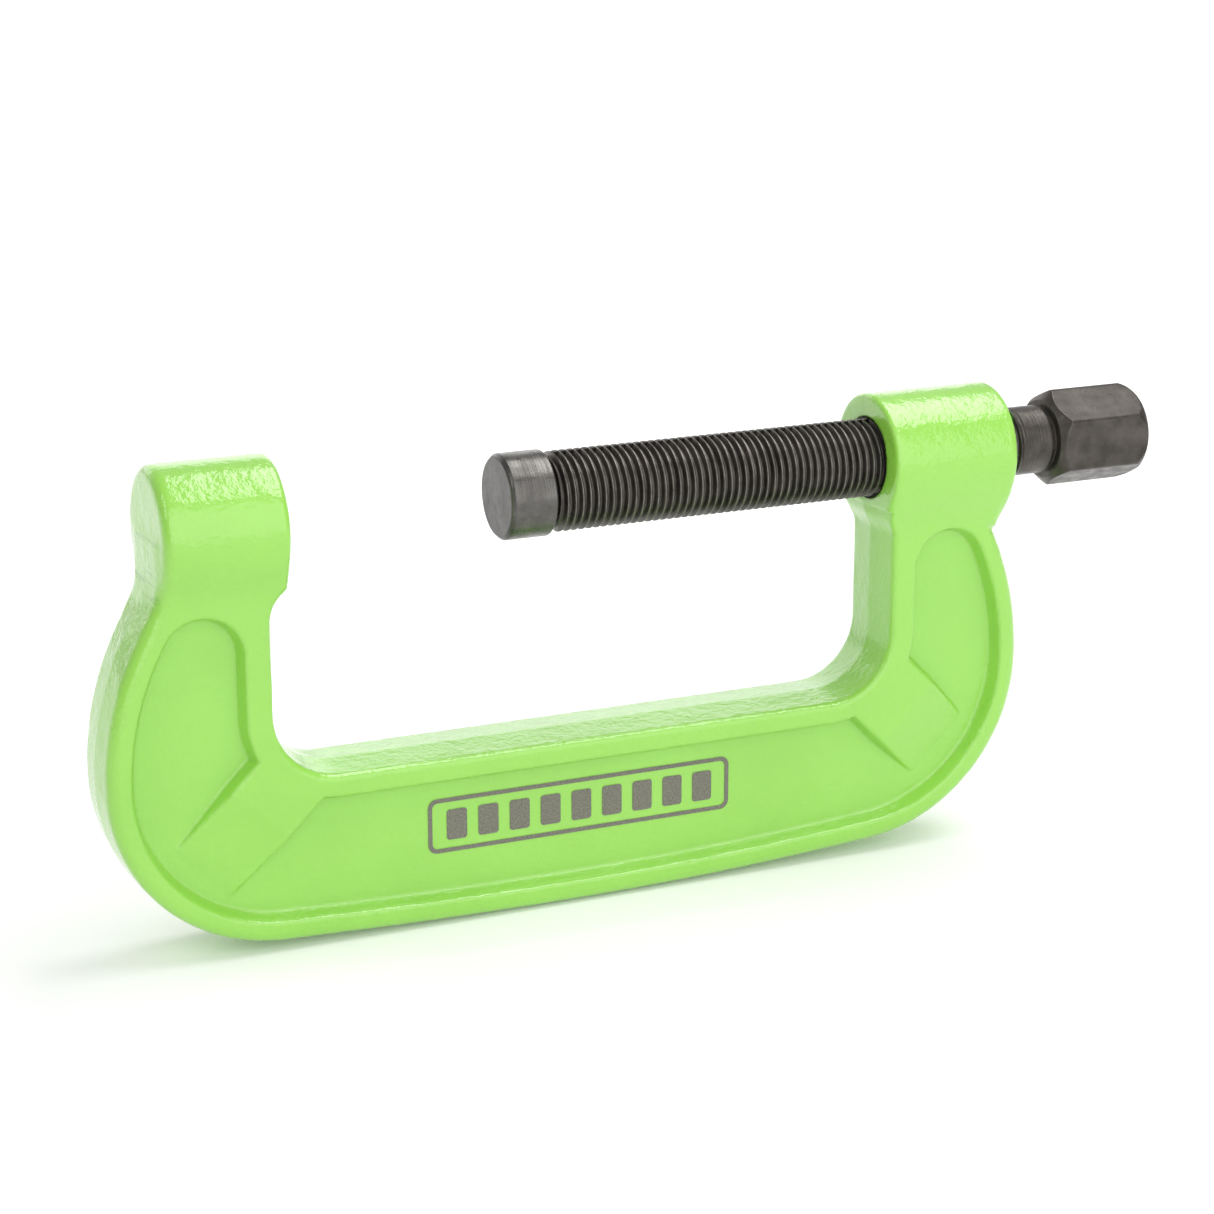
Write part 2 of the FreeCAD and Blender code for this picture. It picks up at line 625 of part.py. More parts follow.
def check_and_export(pieces):
    """Stop on any failed object or bad shape, then write one file per piece."""
    failed = [item.Name for item in doc.Objects
              if "Invalid" in item.State or "Error" in item.State]
    if failed:
        raise RuntimeError("failed objects: " + ", ".join(failed))
    for piece in pieces:
        shape = piece.Shape
        if shape.isNull() or not shape.isValid() or len(shape.Solids) != 1:
            raise RuntimeError("bad shape: " + piece.Label)
    os.makedirs("parts", exist_ok=True)
    for piece in pieces:
        piece.Shape.exportStep("parts/" + piece.Label + ".step")
        low, high = piece.Shape.BoundBox.XMin, piece.Shape.BoundBox.XMax
        print("%s: %.1f mm3, X %.2f to %.2f" % (piece.Label, piece.Shape.Volume, low, high))


check_and_export([build_frame(), build_screw(), build_cap(), build_ring(), build_ball()])
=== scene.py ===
import math

import bmesh
import bpy
import numpy as np
from mathutils import Matrix, Vector


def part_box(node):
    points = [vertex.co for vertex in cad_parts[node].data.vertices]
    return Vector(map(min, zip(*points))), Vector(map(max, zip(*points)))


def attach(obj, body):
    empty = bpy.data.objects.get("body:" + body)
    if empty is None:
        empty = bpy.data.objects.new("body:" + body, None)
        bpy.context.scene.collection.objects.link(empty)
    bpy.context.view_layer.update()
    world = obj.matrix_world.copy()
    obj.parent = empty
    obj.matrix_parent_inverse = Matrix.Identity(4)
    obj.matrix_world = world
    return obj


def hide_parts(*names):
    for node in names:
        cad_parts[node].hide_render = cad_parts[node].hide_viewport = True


# A forged C-frame press clamp in lime-green enamel with a blackened steel screw.
# Shapes are worked out in millimetres in the part's own frame and scaled to metres when a mesh is made.
# X runs along the screw, Z up, Y across the frame.

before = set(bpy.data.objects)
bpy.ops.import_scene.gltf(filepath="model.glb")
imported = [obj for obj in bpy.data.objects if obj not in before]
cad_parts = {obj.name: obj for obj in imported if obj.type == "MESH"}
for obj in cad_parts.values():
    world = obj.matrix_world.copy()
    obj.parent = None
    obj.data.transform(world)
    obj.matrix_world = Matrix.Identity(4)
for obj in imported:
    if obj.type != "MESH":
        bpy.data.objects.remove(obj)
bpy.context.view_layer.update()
MM = 0.001


def box_mm(node):
    low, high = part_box(node)
    return np.array(low) / MM, np.array(high) / MM


FRAME_LOW, FRAME_HIGH = box_mm("c_frame")
SCREW_LOW, SCREW_HIGH = box_mm("forcing_screw")
CAP_LOW, CAP_HIGH = box_mm("thrust_cap")

# ------------------------------------------------------------------ sizes, in millimetres
MIDDLE = (FRAME_LOW[0] + FRAME_HIGH[0]) / 2
HALF_OUTSIDE = (FRAME_HIGH[0] - FRAME_LOW[0]) / 2
BOTTOM = FRAME_LOW[2]
BOSS_RADIUS = FRAME_HIGH[2] - 0.15
ARM_DEPTH = 50.5
HALF_INSIDE = HALF_OUTSIDE - ARM_DEPTH
ANVIL_ARM_EXTRA = 2.7
HALF_WIDTH = 14.25
THROAT_DEPTH = 76.5
THROAT_CORNER = 20.0

# What joins the arms to the bosses. Each pair of heights is where a ramp starts and ends.
NECK = -25.2
NUT_NECK_STEP = 0.8
NUT_NECK_SLOPE = 0.16
NUT_NECK_LEVEL = -13.0
NUT_FILL_SINK = 2.4
NUT_FILL_HEIGHTS = (-24.0, -17.0)
ANVIL_BLOCK_REACH = 5.0
ANVIL_BLOCK_LOW = -28.0
HOLLOW_RADIUS = 12.0
ANVIL_END_STEP = 0.6
ANVIL_END_BLEND = 6.0
ANVIL_ENDS_LOW = -26.0
ANVIL_NECK_LOW = -34.0
ANVIL_NECK_HEIGHTS = (-26.0, -33.0)
ANVIL_NECK_BLEND = 0.5
ANVIL_NECK_BLEND_RISE = 5.5
ANVIL_NECK_BLEND_HEIGHTS = (-28.0, -12.0)
THROAT_CLEAR_REACH = 8.0
THROAT_CLEAR_TOP = -15.0

THROAT_ROUND = 2.0
OUTER_ROUND = 3.8
THROAT_DRAFT = 0.09
OUTER_DRAFT = 0.05
ANVIL_LEFT = -39.9
NUT_LEFT = 201.2
NUT_RIGHT = 246.8
ANVIL_ROUNDS = (4.0, 2.6)
NUT_ROUNDS = (1.8, 2.2)
NUT_BLEND = 9.0
ANVIL_BLEND = 5.0
END_BLEND = 1.2
BORE_RADIUS = 13.2
NET_STEP = 0.8
NET_MARGIN = 2.0
FAR = 1000.0
RECESS_DEPTH = 5.0
RECESS_LIP = -0.35
RECESS_RUN = 2.2
RECESS_BLEND = 0.3
FLANGE = 8.0
ARM_FLANGE_EXTRA = 1.4
RIM = 7.5
RECESS_ROUND = 13.0
NUT_GUSSET_HALF = 13.0
ANVIL_GUSSET_HALF = 12.0
ANVIL_GUSSET_SHIFT = 4.4
GUSSET_FLAT = 40.0
NUT_SIDE_SLOPE = 20.0
ANVIL_SIDE_SLOPE = 26.0

THREAD_RADIUS = 12.7
PITCH = 2.54
THREAD_DEPTH = 0.6134 * PITCH
THREAD_START = 88.8
THREAD_END = 252.0
THREAD_BEVEL = 1.75
NECK_START = 255.0
NECK_END = 265.7
HEX_START = 267.3
HEX_END = SCREW_HIGH[0]
NECK_RADIUS = 11.35
UNDERCUT_RADIUS = 10.3
NUT_CREST = 11.45
NUT_PLAY = 0.18
NUT_MOUTH = 13.3
NUT_INSET = 0.1
HEX_FLAT = 28.575 / 2
HEX_DOME = 7.5
HEX_END_RADIUS = 11.4
HEX_NEAR_RADIUS = 12.9

# The spigot and the inside of the cap. Each groove's pair is where it starts and ends.
SPIGOT_END = 78.0
SPIGOT_RADIUS = 8.0
SPIGOT_GROOVE = (82.2, 84.0)
SPIGOT_GROOVE_RADIUS = 6.3
BALL_POCKET_END = 85.05
BALL_POCKET_RADIUS = 4.02
CAP_FLOOR = 77.0
CAP_BORE_RADIUS = 8.12
CAP_GROOVE = (82.1, 84.2)
CAP_GROOVE_RADIUS = 9.1
CAP_FACE_BEVEL = 1.2
CAP_BACK_BEVEL = 0.6

SPECKS_START = 245
SPECKS_END = 253

MARK_SHIFT = -2.0
MARK_HEIGHT = -101.0
MARK_LIFT = 0.11
MARK_HALF = (52.0, 9.0)
MARK_CORNER = 3.0
MARK_INNER_CORNER = 1.8
MARK_LINE = 1.4
BARS = 9
BAR_SPACING = 10.6
BAR_HALF = (3.4, 5.0)
BAR_CORNER = 1.0


# ------------------------------------------------------------------ meshes
def new_object(name, vertices, faces, smooth=True):
    """A mesh object from vertices in millimetres and faces, as arrays or lists."""
    if isinstance(faces, np.ndarray):
        faces = faces.tolist()
    mesh = bpy.data.meshes.new(name)
    mesh.from_pydata((np.asarray(vertices, float) * MM).tolist(), [], faces)
    mesh.polygons.foreach_set("use_smooth", [smooth] * len(mesh.polygons))
    mesh.update()
    obj = bpy.data.objects.new(name, mesh)
    bpy.context.scene.collection.objects.link(obj)
    return obj


def crossing_points(values):
    """Where a field changes sign inside each cell, from the values at its eight corners."""
    corners = np.array([(i, j, k) for i in (0, 1) for j in (0, 1) for k in (0, 1)])
    total = np.zeros((len(values), 3))
    count = np.zeros(len(values))
    for first in range(8):
        for second in range(first + 1, 8):
            step = corners[second] - corners[first]
            if np.abs(step).sum() != 1:
                continue
            here, there = values[:, first], values[:, second]
            crossed = (here < 0) != (there < 0)
            share = np.where(crossed, here / np.where(crossed, here - there, 1), 0)
            point = corners[first] + share[:, None] * step
            total += np.where(crossed[:, None], point, 0)
            count += crossed
    return total / count[:, None]


def surface_net(field, low, high, step):
    """A closed quad mesh of the zero level of field(x, y, z), pulled onto it exactly."""
    axes = [np.arange(start, end + step, step) for start, end in zip(low, high)]
    shape = [len(axis) for axis in axes]
    grid = np.meshgrid(*axes, indexing="ij", sparse=True)
    values = field(*grid).astype(np.float32)
    inside = values < 0
    cells = [size - 1 for size in shape]
    some = np.zeros(cells, bool)
    every = np.ones(cells, bool)
    offsets = [(i, j, k) for i in (0, 1) for j in (0, 1) for k in (0, 1)]
    for i, j, k in offsets:
        part = inside[i:i + cells[0], j:j + cells[1], k:k + cells[2]]
        some |= part
        every &= part
    active = np.argwhere(some & ~every)
    corner_values = np.stack(
        [values[tuple((active + offset).T)] for offset in offsets], axis=1).astype(float)
    points = (active + crossing_points(corner_values)) * step + np.asarray(low)
    number = np.full(cells, -1, np.int32)
    number[tuple(active.T)] = np.arange(len(active))
    quads = []
    for axis in range(3):
        across = (axis + 1) % 3
        up = (axis + 2) % 3
        near = np.take(inside, range(0, shape[axis] - 1), axis)
        far = np.take(inside, range(1, shape[axis]), axis)
        edges = np.argwhere(near != far)
        leaving = near[tuple(edges.T)]
        ring = []
        for back_across, back_up in ((1, 1), (0, 1), (0, 0), (1, 0)):
            cell = edges.copy()
            cell[:, across] -= back_across
            cell[:, up] -= back_up
            ring.append(number[tuple(cell.T)])
        ring = np.stack(ring, axis=1)
        quads.append(np.where(leaving[:, None], ring, ring[:, ::-1]))
    return pull_to_surface(field, points, step), np.concatenate(quads)


def gradient(field, points, delta=0.02):
    result = np.zeros_like(points)
    for axis in range(3):
        shift = np.zeros(3)
        shift[axis] = delta
        ahead = field(*(points + shift).T)
        behind = field(*(points - shift).T)
        result[:, axis] = (ahead - behind) / (2 * delta)
    return result


def pull_to_surface(field, points, step, rounds=4):
    """Newton steps along the field's gradient, each no longer than part of a cell."""
    for _ in range(rounds):
        slope = gradient(field, points)
        steepness = np.maximum((slope ** 2).sum(1), 0.05)
        move = -slope * (field(*points.T) / steepness)[:, None]
        length = np.linalg.norm(move, axis=1)
        points = points + move * np.minimum(1, 0.35 * step / np.maximum(length, 1e-9))[:, None]
    return points


def angles_round(columns):
    """Even angles round the X axis, the first of them straight up."""
    return 2 * np.pi * np.arange(columns) / columns


def tube(name, along, radius, inward=False):
    """A surface round the X axis: arrays of X and radius for each row and each angle.

    Points that meet are merged. The last column joins the first along the same row, so where the
    rows follow a helix, that one strip spans a whole pitch.
    """
    rows, columns = along.shape
    angles = angles_round(columns)
    sine, cosine = np.sin(angles), np.cos(angles)
    points = np.stack([along, radius * sine, radius * cosine], axis=-1).reshape(-1, 3)
    index = np.arange(rows * columns).reshape(rows, columns)
    following = np.roll(index, -1, axis=1)
    quads = np.stack([index[:-1], index[1:], following[1:], following[:-1]], axis=-1)
    if inward:
        quads = quads[..., ::-1]
    obj = new_object(name, points, quads.reshape(-1, 4))
    merge_close(obj, 1e-6)
    return obj


def merge_close(obj, distance):
    mesh = bmesh.new()
    mesh.from_mesh(obj.data)
    bmesh.ops.remove_doubles(mesh, verts=mesh.verts, dist=distance)
    bmesh.ops.dissolve_degenerate(mesh, edges=mesh.edges, dist=distance)
    mesh.to_mesh(obj.data)
    mesh.free()


def lathe_rows(profile, columns):
    """Rows for tube() from (x, radius) corners of a turned outline."""
    profile = np.asarray(profile, float)
    along = np.repeat(profile[:, :1], columns, axis=1)
    radius = np.repeat(profile[:, 1:], columns, axis=1)
    return along, radius


def soften(profile, radius=0.15, steps=3):
    """A turned outline with each corner replaced by a small arc."""
    profile = [np.asarray(point, float) for point in profile]
    result = [profile[0]]
    for before, corner, after in zip(profile, profile[1:], profile[2:]):
        back = before - corner
        ahead = after - corner
        reach = min(radius, 0.45 * np.linalg.norm(back), 0.45 * np.linalg.norm(ahead))
        start = corner + back / np.linalg.norm(back) * reach
        end = corner + ahead / np.linalg.norm(ahead) * reach
        for share in np.linspace(0, 1, steps + 1):
            middle = start * (1 - share) + corner * share
            other = corner * (1 - share) + end * share
            result.append(middle * (1 - share) + other * share)
    result.append(profile[-1])
    return result


def closer_rows(profile, spacing):
    """The same outline with points no further apart than spacing."""
    result = [np.asarray(profile[0], float)]
    for point in profile[1:]:
        point = np.asarray(point, float)
        start = result[-1]
        count = max(1, math.ceil(np.linalg.norm(point - start) / spacing))
        for number in range(1, count + 1):
            result.append(start + (point - start) * number / count)
    return result


# ------------------------------------------------------------------ the forged frame
def ramp(value, start, end):
    """0 before start, 1 after end, with soft ends."""
    share = np.clip((value - start) / (end - start), 0, 1)
    return share * share * (3 - 2 * share)


def smooth_min(a, b, size):
    """The lesser of two fields, blended over size like a fillet."""
    overlap = np.maximum(size - np.abs(a - b), 0) / size
    return np.minimum(a, b) - overlap ** 2 * size / 4


def smooth_max(a, b, size):
    return -smooth_min(-a, -b, size)


class OuterEdge:
    """One half of the C's outside: an arm arc, a corner arc and the long bottom arc."""

    def __init__(self, widest, arm_radius, corner_radius):
        rise = widest - BOTTOM
        self.widest = widest
        self.arm_radius = arm_radius
        self.corner_radius = corner_radius
        self.corner = HALF_OUTSIDE - corner_radius
        reach = self.corner ** 2 + rise ** 2 - corner_radius ** 2
        self.bottom_radius = reach / (2 * (rise - corner_radius))
        self.bottom_z = BOTTOM + self.bottom_radius
        self.meeting = math.atan2(widest - self.bottom_z, self.corner)

    def distance(self, across, z):
        """Distance to the outside, negative within; across is from the middle."""
        arm_middle = HALF_OUTSIDE - self.arm_radius
        arm = np.hypot(across - arm_middle, z - self.widest) - self.arm_radius
        corner = np.hypot(across - self.corner, z - self.widest) - self.corner_radius
        bottom = np.hypot(across, z - self.bottom_z) - self.bottom_radius
        angle = np.arctan2(z - self.widest, across - self.corner)
        lower = np.where((angle < self.meeting) | (across < self.corner), bottom, corner)
        return np.where(z > self.widest, arm, lower)


NUT_SIDE = OuterEdge(widest=-70.0, arm_radius=100.0, corner_radius=58.5)
ANVIL_SIDE = OuterEdge(widest=-74.5, arm_radius=97.0, corner_radius=55.5)


def outer_distance(x, z):
    across = np.abs(x - MIDDLE)
    return np.where(x > MIDDLE, NUT_SIDE.distance(across, z), ANVIL_SIDE.distance(across, z))


def throat_frame(x, z):
    """How far a point lies sideways and down from the centre of the throat's corner."""
    extra = np.where(x > MIDDLE, 0.0, ANVIL_ARM_EXTRA)
    side = np.abs(x - MIDDLE) + extra - (HALF_INSIDE - THROAT_CORNER)
    return side, -z - (THROAT_DEPTH - THROAT_CORNER)


def throat_distance(x, z):
    """Distance from the throat, which has round corners, negative within it."""
    side, down = throat_frame(x, z)
    outside = np.hypot(np.maximum(side, 0), np.maximum(down, 0))
    return outside + np.minimum(np.maximum(side, down), 0) - THROAT_CORNER


def neck_fill(across, z, right, depth):
    """What joins each arm to its boss, in the frame's plane."""
    # Under the threaded boss: a slope from the neck out to the boss's end.
    lean = NUT_RIGHT - MIDDLE - NUT_NECK_STEP + (z - NUT_NECK_LEVEL) * NUT_NECK_SLOPE
    inner = HALF_INSIDE + THROAT_DRAFT * depth - NUT_FILL_SINK * ramp(z, *NUT_FILL_HEIGHTS)
    slope = np.maximum(across - lean, inner - across)
    nut = np.maximum(slope, NECK - z)
    # Above the arm's inner side: the anvil, with a hollow under it.
    inner = HALF_INSIDE - ANVIL_ARM_EXTRA
    block = np.maximum(MIDDLE - across, across - (MIDDLE - ANVIL_LEFT) - ANVIL_BLOCK_REACH)
    block = np.maximum(block, ANVIL_BLOCK_LOW - z)
    from_hollow = np.hypot(across - (inner - HOLLOW_RADIUS), z - ANVIL_BLOCK_LOW)
    hollow = HOLLOW_RADIUS - from_hollow + THROAT_DRAFT * depth
    anvil = np.maximum(block, hollow)
    return np.where(right, nut, anvil)


def anvil_end(x, z):
    """The anvil boss's outer end and the hollow neck that leads from it to the arm's outside."""
    return smooth_min(ANVIL_LEFT - ANVIL_END_STEP - x, outer_distance(x, z), ANVIL_END_BLEND)


def plate_distance(x, z, depth):
    """The C's outline in its own plane; depth is how far in from the widest plane it lies."""
    across = np.abs(x - MIDDLE)
    right = x > MIDDLE
    outer = outer_distance(x, z) + OUTER_DRAFT * depth
    throat = -throat_distance(x, z) + THROAT_DRAFT * depth
    arm = np.maximum(outer, throat)
    fill = neck_fill(across, z, right, depth)
    nut_half = np.minimum(np.maximum(arm, z), fill)
    anvil_half = np.maximum(np.minimum(arm, fill), anvil_end(x, z) + OUTER_DRAFT * depth)
    return np.maximum(np.where(right, nut_half, anvil_half), z)


def recess_depth(x, z):
    """How far the face of the frame lies below its rim."""
    across = np.abs(x - MIDDLE)
    right = x > MIDDLE
    inner = HALF_INSIDE - np.where(right, 0.0, ANVIL_ARM_EXTRA)
    side, down = throat_frame(x, z)
    throat = throat_distance(x, z) - FLANGE - ARM_FLANGE_EXTRA * ramp(side - down, -5.0, 5.0)
    outer = -outer_distance(x, z) - RIM
    wall = inner + FLANGE + ARM_FLANGE_EXTRA + RECESS_ROUND
    arm_radius = np.where(right, NUT_SIDE.arm_radius, ANVIL_SIDE.arm_radius)
    widest = np.where(right, NUT_SIDE.widest, ANVIL_SIDE.widest)
    reach = arm_radius - RIM - RECESS_ROUND
    top = widest + np.sqrt(reach ** 2 - (wall - HALF_OUTSIDE + arm_radius) ** 2)
    cap = RECESS_ROUND - np.hypot(across - wall, z - top)
    within = np.minimum(throat, outer)
    rise = (z - widest) * (wall - HALF_OUTSIDE + arm_radius)
    crowned = (z > top) & (rise > (across - HALF_OUTSIDE + arm_radius) * (top - widest))
    within = np.where(crowned, np.minimum(within, cap), within)
    floor = RECESS_DEPTH * ramp(within, RECESS_LIP, RECESS_RUN)
    out = (side + down) / math.sqrt(2)
    shift = np.where(right, 0.0, ANVIL_GUSSET_SHIFT)
    half = np.where(right, NUT_GUSSET_HALF, ANVIL_GUSSET_HALF)
    aside = np.abs(side - down + shift) / math.sqrt(2) - half
    slope = np.where(right, NUT_SIDE_SLOPE, ANVIL_SIDE_SLOPE)
    crest = RECESS_DEPTH * np.clip((out - GUSSET_FLAT) / slope, 0, 1)
    crest = crest + (RECESS_DEPTH + 1.0) * ramp(aside, RECESS_LIP, RECESS_RUN)
    return smooth_min(floor, crest, RECESS_BLEND)


def boss_distance(x, y, z, start, end, roundings):
    """Distance to a round boss along X with a different rounding at each end."""
    size = np.where(x < (start + end) / 2, *roundings)
    radial = np.sqrt(y * y + z * z) - BOSS_RADIUS + size
    lengthwise = np.abs(x - (start + end) / 2) - (end - start) / 2 + size
    outside = np.hypot(np.maximum(radial, 0), np.maximum(lengthwise, 0))
    return outside + np.minimum(np.maximum(radial, lengthwise), 0) - size


def unevenness(x, y, z):
    """The slight waviness of a forged and painted skin, all of it inwards."""
    waves = ((0.31, 0.17, 0.23, 0.4), (-0.22, 0.35, 0.29, 2.1), (0.57, -0.31, 0.41, 4.4),
             (0.13, 0.61, -0.52, 1.3), (-0.71, 0.28, 0.63, 3.2), (0.94, 0.77, 0.35, 5.1))
    total = 0
    for kx, ky, kz, phase in waves:
        total = total + np.sin(kx * x + ky * y + kz * z + phase)
    return 0.012 * (total + len(waves))


def frame_field(x, y, z):
    """The whole forging: negative inside."""
    off_middle = np.abs(y)
    outline = plate_distance(x, z, off_middle)
    face = off_middle - HALF_WIDTH
    by_throat = throat_distance(x, z) < -outer_distance(x, z)
    rounding = np.where(by_throat, THROAT_ROUND, OUTER_ROUND)
    side = outline + rounding
    front = face + rounding
    outside = np.hypot(np.maximum(side, 0), np.maximum(front, 0))
    plate = outside + np.minimum(np.maximum(side, front), 0) - rounding
    plate = np.maximum(plate, face + recess_depth(x, z))
    anvil = boss_distance(x, y, z, ANVIL_LEFT, 0.0, ANVIL_ROUNDS)
    nut = boss_distance(x, y, z, NUT_LEFT, NUT_RIGHT, NUT_ROUNDS)
    # The bosses blend into the faces of the arms, but their flat ends stay crisp.
    body = smooth_min(plate, anvil, ANVIL_BLEND)
    body = smooth_min(body, nut, NUT_BLEND)
    near_anvil = (x < MIDDLE) & (z > ANVIL_ENDS_LOW)
    near_nut = (x > MIDDLE) & (z > NECK)
    ends = np.where(near_anvil, x, np.where(near_nut, np.maximum(NUT_LEFT - x, x - NUT_RIGHT), -FAR))
    body = smooth_max(body, ends, END_BLEND)
    # The blend doesn't reach round into the throat.
    near_throat = np.abs(x - MIDDLE) < HALF_INSIDE + THROAT_CLEAR_REACH
    inner_side = near_throat & (z < THROAT_CLEAR_TOP)
    body = np.maximum(body, np.where(inner_side, outline, -FAR))
    neck = anvil_end(x, z) - ramp(z, *ANVIL_NECK_HEIGHTS)
    neck = np.where((x < MIDDLE) & (z > ANVIL_NECK_LOW), neck, -FAR)
    blend = ANVIL_NECK_BLEND + ANVIL_NECK_BLEND_RISE * ramp(z, *ANVIL_NECK_BLEND_HEIGHTS)
    body = smooth_max(body, neck, blend)
    bore = np.where(x > MIDDLE, BORE_RADIUS - np.sqrt(y * y + z * z), -FAR)
    return np.maximum(body, bore) + unevenness(x, y, z)


def make_frame():
    low = FRAME_LOW - NET_MARGIN
    high = FRAME_HIGH + NET_MARGIN
    points, quads = surface_net(frame_field, low, high, NET_STEP)
    return new_object("forged_frame", points, quads)


# ------------------------------------------------------------------ the screw
def thread_radius(phase):
    """Radius of a 60 degree thread against the share of a turn, with slightly worn corners."""
    away = np.abs((phase % 1.0) - 0.5)
    slope = (away - 0.0625) / (0.5 - 0.0625 - 0.11)
    level = np.clip(slope, 0, 1)
    level = level * 0.85 + 0.15 * level * level * (3 - 2 * level)
    return THREAD_RADIUS - THREAD_DEPTH * level


THREAD_STOPS = (0.0, 0.07, 0.11, 0.2, 0.32, 0.42, 0.44, 0.46, 0.54, 0.56, 0.58, 0.68, 0.8, 0.89, 0.93)
AROUND = 144
CAP_AROUND = 128


def thread_rows(start, end, envelope, grow=0.0):
    """Rows along the helix between two planes, for tube(), under a turned envelope."""
    angles = angles_round(AROUND)
    turns = np.arange(math.floor(start / PITCH) - 2, math.ceil(end / PITCH) + 2)
    stops = (turns[:, None] + np.array(THREAD_STOPS)).reshape(-1)
    along = (stops[:, None] - angles / (2 * np.pi)) * PITCH
    clipped = np.clip(along, start, end)
    radius = thread_radius(clipped / PITCH + angles / (2 * np.pi)) + grow
    return clipped, envelope(clipped, radius)


def screw_envelope(along, radius):
    """The thread bevelled at its start and faded into the plain neck at its end."""
    bevel = THREAD_RADIUS - THREAD_BEVEL + (along - THREAD_START) * 1.1
    fade = (along - THREAD_END) / (NECK_START - THREAD_END)
    limit = THREAD_RADIUS + (NECK_RADIUS - THREAD_RADIUS) * np.clip(fade, 0, 1)
    radius = np.minimum(radius, np.minimum(bevel, limit))
    floor = NECK_RADIUS - 0.35 * np.clip(1 - fade, 0, 1)
    fading = np.where(fade > 0, np.maximum(radius, floor), radius)
    at_end = np.where(along >= NECK_START, NECK_RADIUS, fading)
    return np.where(along <= THREAD_START, THREAD_RADIUS - THREAD_BEVEL, at_end)


def hexagon(along, angles):
    """Radius of the hexagon with its corners cut back by a cone at each end."""
    flat = HEX_FLAT / np.cos((angles % (math.pi / 3)) - math.pi / 6)
    corner = HEX_FLAT / math.cos(math.pi / 6)
    radius = np.minimum(flat, corner - 0.3)
    left = HEX_NEAR_RADIUS + (along - HEX_START) * 0.95
    from_end = np.clip((HEX_END - along) / HEX_DOME, 0, 1)
    right = HEX_END_RADIUS + (corner - HEX_END_RADIUS) * np.sqrt(1 - (1 - from_end) ** 2)
    return np.minimum(radius, np.minimum(left, right))


def screw_rows():
    groove_start, groove_end = SPIGOT_GROOVE
    spigot = [(BALL_POCKET_END, 0.0), (BALL_POCKET_END, BALL_POCKET_RADIUS),
              (SPIGOT_END, BALL_POCKET_RADIUS), (SPIGOT_END, SPIGOT_RADIUS - 0.4),
              (SPIGOT_END + 0.4, SPIGOT_RADIUS), (groove_start, SPIGOT_RADIUS),
              (groove_start, SPIGOT_GROOVE_RADIUS), (groove_end, SPIGOT_GROOVE_RADIUS),
              (groove_end, SPIGOT_RADIUS), (THREAD_START, SPIGOT_RADIUS)]
    first = lathe_rows(soften(spigot, 0.1), AROUND)
    second = thread_rows(THREAD_START, NECK_START, screw_envelope)
    neck = [(NECK_START, NECK_RADIUS), (NECK_END - 0.4, NECK_RADIUS), (NECK_END, NECK_RADIUS - 0.4),
            (NECK_END + 0.2, UNDERCUT_RADIUS), (HEX_START, UNDERCUT_RADIUS),
            (HEX_START, HEX_NEAR_RADIUS)]
    third = lathe_rows(closer_rows(soften(neck, 0.3), 0.8), AROUND)
    length = HEX_END - HEX_START
    fine = np.linspace(0, 4.5, 22)
    stations = np.concatenate([fine, np.linspace(5.5, length - 7.0, 12), length - 6.5 + fine * 6.5 / 4.5])
    stations = HEX_START + stations
    angles = angles_round(AROUND)
    along = np.repeat(stations[:, None], AROUND, axis=1)
    fourth = (along, hexagon(along, angles[None, :]))
    end = lathe_rows([(HEX_END, HEX_END_RADIUS), (HEX_END, 8.0), (HEX_END, 0.0)], AROUND)
    return [np.concatenate(parts) for parts in zip(first, second, third, fourth, end)]


def make_screw():
    along, radius = screw_rows()
    return tube("threaded_screw", along, radius)


def nut_envelope(along, radius):
    """Turns no deeper inwards than the crest, with a 45 degree bevel at each mouth."""
    left = NUT_MOUTH - (along - NUT_LEFT - NUT_INSET)
    right = NUT_MOUTH - (NUT_RIGHT - NUT_INSET - along)
    return np.maximum(np.maximum(radius, NUT_CREST), np.maximum(left, right))


def make_nut_thread():
    """The tapped wall of the boss, in mesh with the screw."""
    along, radius = thread_rows(NUT_LEFT + NUT_INSET, NUT_RIGHT - NUT_INSET, nut_envelope, NUT_PLAY)
    return tube("tapped_wall", along, radius, inward=True)


def make_cap():
    """The thrust cap, with turned rings on its face and fine lines round its side."""
    face, back = CAP_LOW[0], CAP_HIGH[0]
    outside = CAP_HIGH[2]
    rings = []
    for radius in np.arange(0.0, outside - CAP_FACE_BEVEL - 0.1, 0.28):
        rings.append((face + 0.014 * (1 + math.sin(radius * 11.0)), radius))
    groove_start, groove_end = CAP_GROOVE
    body = [(face, outside - CAP_FACE_BEVEL), (face + CAP_FACE_BEVEL, outside),
            (back - CAP_BACK_BEVEL, outside), (back, outside - CAP_BACK_BEVEL),
            (back, CAP_BORE_RADIUS), (groove_end, CAP_BORE_RADIUS),
            (groove_end, CAP_GROOVE_RADIUS), (groove_start, CAP_GROOVE_RADIUS),
            (groove_start, CAP_BORE_RADIUS), (CAP_FLOOR, CAP_BORE_RADIUS), (CAP_FLOOR, 0.0)]
    outline = rings + soften(body, 0.22)
    along, radius = lathe_rows(closer_rows(outline, 1.0), CAP_AROUND)
    return tube("turned_cap", along, radius)


def rounded_loop(half_width, half_height, radius, steps=6):
    """The points of an upright rounded rectangle about its centre."""
    loop = []
    for turn, (sign_x, sign_z) in enumerate(((1, 1), (-1, 1), (-1, -1), (1, -1))):
        for step in range(steps + 1):
            angle = (turn + step / steps) * math.pi / 2
            loop.append((sign_x * (half_width - radius) + radius * math.cos(angle),
                         sign_z * (half_height - radius) + radius * math.sin(angle)))
    return loop


